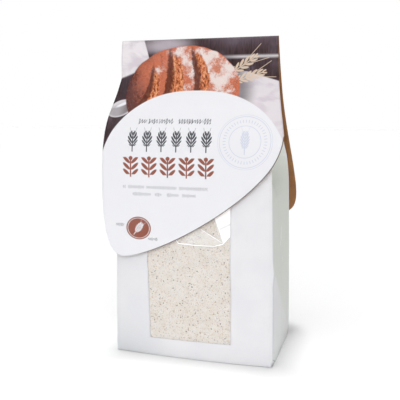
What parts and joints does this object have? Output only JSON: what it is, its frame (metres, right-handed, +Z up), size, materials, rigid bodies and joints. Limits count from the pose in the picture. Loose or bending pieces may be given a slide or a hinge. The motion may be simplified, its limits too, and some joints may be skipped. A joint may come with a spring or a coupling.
{
  "type": "bag of flour",
  "caption": "Filled paper flour bag with a clear front window, standing on a flat block bottom, its flat neck closed by a folded card header with rounded leaf-shaped flaps.",
  "frame": {"origin": "middle of the bag's flat base, on the surface it stands on", "axes": "+Z up the bag, +X to the right seen from the front, the windowed front faces -Y"},
  "size_m": [0.1332, 0.1028, 0.2311],
  "materials": {
    "bag_paper": "matte",
    "flour": "matte",
    "clear_film": "gloss",
    "card": "satin"
  },
  "bodies": {
    "root": {"paper_bag": "bag_paper", "flour": "flour", "window_film": "clear_film", "header_card": "card"}
  },
  "joints": []
}
